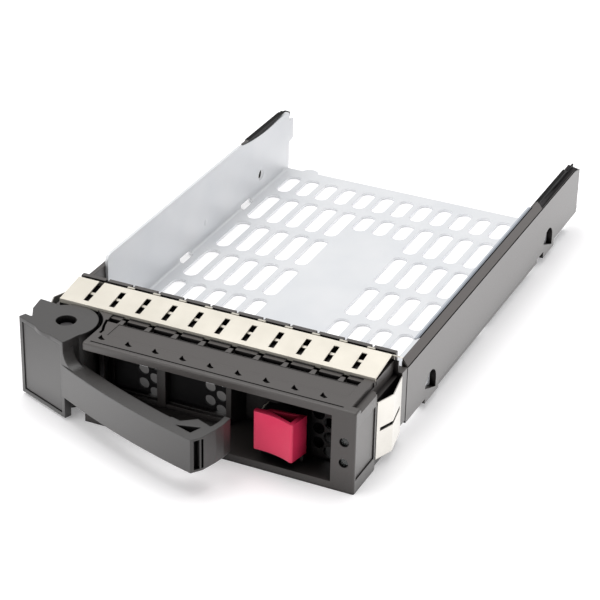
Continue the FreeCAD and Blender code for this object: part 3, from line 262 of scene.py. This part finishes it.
# Charcoal moulding of the lever: a shade lighter than the bezel, soft highlights along its edges, painted
# shade in its recesses
greyLook = {"name": "charcoalMouldedPlastic", "colour": "#302e2d", "roughness": 0.4, "ior": 1.53,
            "grainMm": 0.18, "bump": 0.3, "edgeMm": 0.5, "creaseMm": 2.0, "recessMm": 16.0,
            "recessOwn": False, "recessFloor": 0.24, "recessRim": 0.74, "recessShadeColour": "#090809",
            "sheen": 0.62}
# Raspberry touch-point plastic, coloured right through, with painted shade of dark red in its recesses
raspberryLook = {"name": "raspberryMouldedPlastic", "colour": "#d93058", "roughness": 0.36, "ior": 1.5,
                 "grainMm": 0.16, "bump": 0.2, "edgeMm": 0.6, "creaseMm": 0.6, "recessMm": 12.0,
                 "recessOwn": False, "recessFloor": 0.3, "recessRim": 0.9, "recessShadeColour": "#4a0712",
                 "sheen": 0.4}
# Clear acrylic of the light guides
clearLook = {"name": "clearLightGuide", "colour": "#6f7371", "roughness": 0.14, "ior": 1.49,
             "transmission": 0.8}

zinc = metalMaterial(zincLook)
hemShadeZinc = metalMaterial(hemShadeLook)
foldShadeZinc = metalMaterial(foldShadeLook)
stainless = metalMaterial(stainlessLook)
sideStainless = metalMaterial(sideShieldLook)
darkSteel = metalMaterial(darkSteelLook)
black = plasticMaterial(blackLook)
railBlack = plasticMaterial(railLook)
litCapBlack = plasticMaterial(litCapLook)
shadedRearBlack = plasticMaterial(shadedRearCapLook)
seamShadowBlack = plasticMaterial(seamShadowLook)
inside = plasticMaterial(deepShadeLook)
grey = plasticMaterial(greyLook)
raspberry = plasticMaterial(raspberryLook)
clear = clearMaterial(clearLook)

finishes = {
    "tray_pan": zinc, "bezel_screws": zinc,
    "shield_strip": stainless, "left_side_shield": sideStainless, "right_side_shield": sideStainless,
    "lever_washer": stainless, "lever_spring": stainless, "button_spring": stainless,
    "catch_plate": stainless,
    "front_bezel": black, "left_rail": railBlack, "right_rail": railBlack,
    # The rear grille and the slider take the near-black painted-shade copy of the moulding
    "side_grille": black, "rear_grille": inside, "latch_slider": inside,
    "eject_lever": grey, "label_panel": grey,
    "lever_pin": darkSteel, "guide_pin": darkSteel,
    "release_button": raspberry,
    "upper_light_pipe": clear, "lower_light_pipe": clear,
}
for name, material in finishes.items():
    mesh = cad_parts[name].data
    if not mesh.materials:
        mesh.materials.append(material)
    for i in range(len(mesh.materials)):
        mesh.materials[i] = material
print("finishes given to", len(finishes), "nodes")


# Adds one made piece of the tray, from its vertices in metres and its faces
def addTrayPiece(name, points, faces, material):
    mesh = bpy.data.meshes.new(name)
    mesh.from_pydata(points, [], faces)
    mesh.materials.append(material)
    piece = bpy.data.objects.new(name, mesh)
    scene.collection.objects.link(piece)
    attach(piece, "tray")
    return piece


# The button's spring is wound here, as a helix of wire between the slider and its post
buttonSpringShape = {"wireMm": 0.4, "turns": 8, "steps": 24, "sides": 8, "travelMm": 2.55}


def buildButtonSpring(shape):
    low, high = (Vector(corner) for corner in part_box("button_spring"))
    wire = shape["wireMm"] / 2 * mm
    centre = (low + high) / 2
    radius = (high.z - low.z) / 2 - wire
    count, sides = shape["turns"] * shape["steps"], shape["sides"]
    points = []
    for i in range(count + 1):
        turn = 2 * math.pi * i / shape["steps"]
        along = low.x + wire + (high.x - low.x - 2 * wire) * i / count
        for k in range(sides):
            around = 2 * math.pi * k / sides
            reach = radius + wire * math.cos(around)
            points.append((along + wire * math.sin(around), centre.y + reach * math.cos(turn),
                           centre.z + reach * math.sin(turn)))
    faces = [(i * sides + k, i * sides + (k + 1) % sides, (i + 1) * sides + (k + 1) % sides,
              (i + 1) * sides + k) for i in range(count) for k in range(sides)]
    faces.append(tuple(range(sides))[::-1])
    faces.append(tuple(range(count * sides, (count + 1) * sides)))
    spring = addTrayPiece("button_spring_wire", points, faces, stainless)
    spring.data.shade_smooth()
    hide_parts("button_spring")
    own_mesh(spring)


# Strips along the right wall: the rail's sloping cap in painted light and its rear end in painted shade,
# near-black seams of painted shadow at the cap's edges and the wall's top, the rail's skirt over the tray's
# bend, and the wall's hem and fold, coloured darker as painted shade where they turn from the light towards
# the rail
rightWallStrips = {
    "right_rail_cap": {
        "profileMm": [(53.89, 22.0), (53.89, 22.14), (52.1, 24.56), (52.02, 24.5), (52.02, 22.0)],
        "spanMm": (-70.3, 41.2), "finish": litCapBlack, "slot": "black_plastic"},
    "right_rail_rear_cap": {
        "profileMm": [(53.88, 22.0), (53.88, 22.16), (52.12, 23.95), (52.12, 22.0)],
        "rearMm": [(53.88, 22.0), (53.88, 22.16), (50.7, 22.95), (50.7, 22.6)],
        "spanMm": (41.2, 75.6), "finish": shadedRearBlack, "slot": "black_plastic"},
    "right_rail_seam": {
        "profileMm": [(53.93, 22.02), (53.93, 22.14), (53.8, 22.32), (53.8, 22.02)],
        "spanMm": (-70.3, 75.6), "finish": seamShadowBlack, "slot": "black_plastic"},
    "right_rail_skirt": {
        "profileMm": [(53.12, 4.3), (52.86, 4.3), (52.86, 2.05), (53.12, 2.05)],
        "spanMm": (-44.5, 42.0), "finish": railBlack, "slot": "black_plastic"},
    # Painted shadow: a near-black strip along the wall's top, at the rail's lip
    "right_rail_lip": {
        "profileMm": [(52.12, 24.5), (52.12, 24.62), (51.8, 24.64), (51.8, 24.5)],
        "spanMm": (-57.5, 36.0), "finish": seamShadowBlack, "slot": "black_plastic"},
    "right_wall_hem": {
        "profileMm": [(51.8, 24.44), (51.8, 24.6), (51.25, 24.6), (51.25, 24.44)],
        "spanMm": (-58.0, 36.0), "finish": hemShadeZinc, "slot": "zinc_steel"},
    "right_wall_fold": {
        "profileMm": [(51.25, 24.2), (51.25, 24.6), (50.85, 24.52), (50.5, 24.4), (50.5, 24.2)],
        "spanMm": (-58.4, 36.0), "finish": foldShadeZinc, "slot": "zinc_steel"},
}


def buildWallStrips(strips):
    for name, strip in strips.items():
        profile, count = strip["profileMm"], len(strip["profileMm"])
        ends = zip(strip["spanMm"], (profile, strip.get("rearMm", profile)))
        points = [(x * mm, y * mm, z * mm) for y, outline in ends for x, z in outline]
        faces = [(k, k + count, (k + 1) % count + count, (k + 1) % count) for k in range(count)]
        faces += [tuple(range(count)), tuple(range(2 * count - 1, count - 1, -1))]
        addTrayPiece(name, points, faces, strip["finish"])


buildButtonSpring(buttonSpringShape)
buildWallStrips(rightWallStrips)
print("button spring and the strips on the right wall added")

# Floor: white and matt, lifted to white in the camera's rays, so the shadow stays on it; in glossy rays it
# glows in pools, a painted reflection of the studio lamps that would burn it out
floorLook = {"size": 6.0, "dropMm": 0.02, "colour": "#f4f3f4", "lift": 0.2,
             "mirrorBehind": {"level": 0.9, "axis": "Y", "none": 0.12, "full": 0.07},
             "mirrorBeside": {"level": 1.45, "axis": "X", "none": 0.03, "full": 0.06},
             "mirrorLeft": {"level": 1.6, "axis": "X", "none": 0.015, "full": -0.05},
             "mirrorFarLeft": {"level": 1.0, "axis": "X", "none": -0.095, "full": -0.055},
             "mirrorFront": {"level": 0.85, "axis": "Y", "none": -0.085, "full": -0.125}}


# Level of one pool of painted reflection on the floor, seen in glossy rays only, which fades out along an
# axis
def paintedReflectionPool(tree, place, pool):
    fade = addNode(tree, "MapRange", {"Value": place.outputs[pool["axis"]], "From Min": pool["none"],
                                      "From Max": pool["full"], "To Max": pool["level"]})
    return fade.outputs[0]


# All the painted reflection pools together: behind and beside the caddy, and a band in front of it at the
# left
def paintedReflectionPools(tree, look):
    place = addNode(tree, "SeparateXYZ", {"Vector": addNode(tree, "TexCoord").outputs["Object"]})
    names = ("mirrorBehind", "mirrorBeside", "mirrorLeft", "mirrorFarLeft", "mirrorFront")
    behind, beside, nearLeft, farLeft, front = (paintedReflectionPool(tree, place, look[name]) for name in names)
    rear = compute(tree, "MULTIPLY", compute(tree, "MAXIMUM", behind, beside),
                   compute(tree, "SUBTRACT", 1.0, front))
    left = compute(tree, "MULTIPLY", compute(tree, "MULTIPLY", nearLeft, farLeft), front)
    return compute(tree, "ADD", rear, left)


def floorMaterial(look):
    material, tree = newMaterial("whiteTable")
    path = addNode(tree, "LightPath")
    seen = compute(tree, "MAXIMUM", path.outputs["Is Camera Ray"], path.outputs["Is Transmission Ray"])
    direct = compute(tree, "MULTIPLY", seen, look["lift"])
    mirrored = compute(tree, "MULTIPLY", path.outputs["Is Glossy Ray"], paintedReflectionPools(tree, look))
    matt = addNode(tree, "BsdfDiffuse", {"Color": linear(look["colour"])})
    glow = addNode(tree, "Emission", {"Strength": compute(tree, "MAXIMUM", direct, mirrored)})
    both = addNode(tree, "AddShader", {0: matt.outputs[0], 1: glow.outputs[0]})
    addNode(tree, "OutputMaterial", {"Surface": both.outputs[0]})
    return material


def buildFloor(look):
    half = look["size"] / 2
    mesh = bpy.data.meshes.new("floor")
    mesh.from_pydata([(-half, -half, 0), (half, -half, 0), (half, half, 0), (-half, half, 0)], [],
                     [(0, 1, 2, 3)])
    mesh.materials.append(floorMaterial(look))
    floor = bpy.data.objects.new("floor", mesh)
    scene.collection.objects.link(floor)
    floor.location.z = boundsBefore[0][2] - look["dropMm"] * mm


# White behind everything in the camera's rays, and an even light of its own level for the rest
worldLight = 0.75


def buildWorld(strength):
    world = bpy.data.worlds.new("studio")
    scene.world = world
    world.use_nodes = True
    tree = world.node_tree
    tree.nodes.clear()
    path = addNode(tree, "LightPath")
    level = addNode(tree, "MapRange", {"Value": path.outputs["Is Camera Ray"], "To Min": strength,
                                       "To Max": 1.0})
    sky = addNode(tree, "Background", {"Color": (1.0, 1.0, 1.0, 1.0), "Strength": level.outputs[0]})
    addNode(tree, "OutputWorld", {"Surface": sky.outputs[0]})


# Softboxes: a large one above, and a smaller one in front at the left for the bezel's face
softboxes = {
    "topSoftbox": {"place": (-0.15, 0.2, 1.0), "aim": (0.0, 0.0, 0.0), "size": (0.9, 0.9), "watts": 6.5},
    "frontSoftbox": {"place": (-0.55, -0.75, 0.45), "aim": (0.0, -0.08, 0.01), "size": (0.7, 0.5),
                     "watts": 2.0},
}


def addSoftbox(name, box):
    lamp = bpy.data.lights.new(name, "AREA")
    lamp.shape = "RECTANGLE"
    lamp.size, lamp.size_y = box["size"]
    lamp.energy = box["watts"]
    holder = bpy.data.objects.new(name, lamp)
    scene.collection.objects.link(holder)
    holder.location = box["place"]
    holder.rotation_euler = (Vector(box["aim"]) - Vector(box["place"])).to_track_quat("-Z", "Y").to_euler()


buildFloor(floorLook)
buildWorld(worldLight)
for name, box in softboxes.items():
    addSoftbox(name, box)
print("floor, world and lamps set")

# Camera found from the tray's hole spacing and the bezel's edges
cameraLook = {"right": (0.9044, 0.4262, 0.0188), "up": (-0.2200, 0.4283, 0.8764),
              "placeMm": (238.44, -545.93, 322.28), "lens": 127.4, "sensor": 36.0, "nearMm": 10.0}


def buildCamera(look):
    right, up = Vector(look["right"]).normalized(), Vector(look["up"]).normalized()
    back = right.cross(up).normalized()
    place = Vector(look["placeMm"]) * mm
    lens = bpy.data.cameras.new("camera")
    lens.lens, lens.sensor_width, lens.clip_start = look["lens"], look["sensor"], look["nearMm"] * mm
    camera = bpy.data.objects.new("camera", lens)
    scene.collection.objects.link(camera)
    camera.matrix_world = Matrix([*zip(right, up, back, place), (0.0, 0.0, 0.0, 1.0)])
    scene.camera = camera


buildCamera(cameraLook)
print("camera set")
